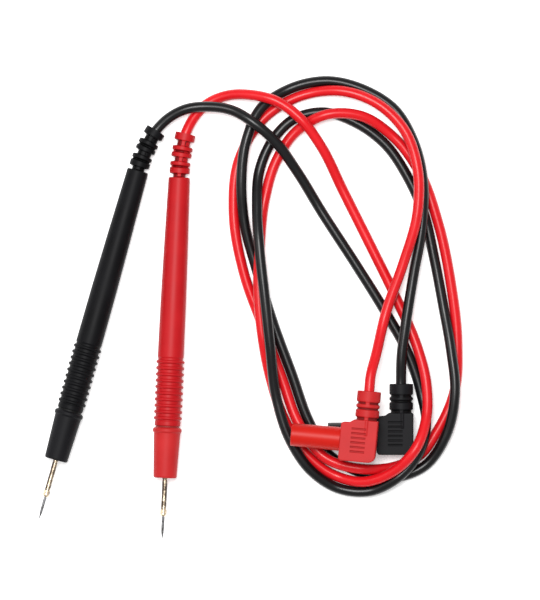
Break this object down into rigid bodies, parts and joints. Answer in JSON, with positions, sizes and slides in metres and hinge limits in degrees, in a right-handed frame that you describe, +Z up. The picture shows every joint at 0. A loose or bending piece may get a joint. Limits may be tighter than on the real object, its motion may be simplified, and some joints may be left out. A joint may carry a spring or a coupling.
{
  "type": "test lead pair",
  "caption": "Pair of needle test leads, black and red: ribbed probe handles, coiled flexible cords and right-angled shrouded banana plugs.",
  "frame": {"origin": "on the surface the leads lie on, at the middle of the box round the two probes", "axes": "+Z up from the surface, +Y along the probes towards their strain reliefs, +X from the probes towards the coiled cords"},
  "size_m": [0.1625, 0.1776, 0.0197],
  "materials": {
    "black_grip": "moulded, fine satin",
    "black_cord": "soft PVC, semi-gloss",
    "red_grip": "moulded, fine satin",
    "red_rubber": "soft, matt",
    "black_rubber": "soft, matt",
    "red_cord": "soft PVC, semi-gloss",
    "red_shroud": "smooth, glossy",
    "black_shroud": "smooth, glossy",
    "nylon": "natural nylon",
    "insulation": "white PVC",
    "brass": "gold plated, satin",
    "steel": "ground steel",
    "copper": "bare copper"
  },
  "bodies": {
    "leads": {"black_handle": "black_grip", "black_strain_relief": "black_grip", "black_tip_holder": "nylon", "black_probe_rod": "brass", "black_probe_core": "insulation", "black_probe_strands": "copper", "black_cord": "black_cord", "black_elbow": "black_rubber", "black_shroud": "black_shroud", "black_contact_pin": "brass", "black_spring_cage": "brass", "black_plug_core": "insulation", "black_plug_strands": "copper", "red_handle": "red_grip", "red_strain_relief": "red_grip", "red_tip_holder": "nylon", "red_probe_rod": "brass", "red_probe_core": "insulation", "red_probe_strands": "copper", "red_cord": "red_cord", "red_elbow": "red_rubber", "red_shroud": "red_shroud", "red_contact_pin": "brass", "red_spring_cage": "brass", "red_plug_core": "insulation", "red_plug_strands": "copper"},
    "black_cap": {"black_nose_cap": "black_rubber"},
    "black_nut": {"black_chuck_nut": "brass"},
    "black_tip": {"black_needle": "steel"},
    "red_cap": {"red_nose_cap": "red_rubber"},
    "red_nut": {"red_chuck_nut": "brass"},
    "red_tip": {"red_needle": "steel"}
  },
  "joints": [
    {"name": "black_cap_pull", "type": "slide", "parent": "leads", "child": "black_cap", "axis": [-0.2722, -0.9621, 0.0171], "range_m": [0, 0.043]},
    {"name": "black_nut_turn", "type": "hinge", "parent": "leads", "child": "black_nut", "pos_m": [-0.02735, -0.06199, 0.00645], "axis": [-0.2722, -0.9621, 0.0171], "range_deg": [0, 540]},
    {"name": "black_tip_pull", "type": "slide", "parent": "leads", "child": "black_tip", "axis": [-0.2722, -0.9621, 0.0171], "range_m": [0, 0.018]},
    {"name": "red_cap_pull", "type": "slide", "parent": "leads", "child": "red_cap", "axis": [-0.0471, -0.9987, 0.0171], "range_m": [0, 0.043]},
    {"name": "red_nut_turn", "type": "hinge", "parent": "leads", "child": "red_nut", "pos_m": [0.01757, -0.06938, 0.00645], "axis": [-0.0471, -0.9987, 0.0171], "range_deg": [0, 540]},
    {"name": "red_tip_pull", "type": "slide", "parent": "leads", "child": "red_tip", "axis": [-0.0471, -0.9987, 0.0171], "range_m": [0, 0.018]}
  ]
}
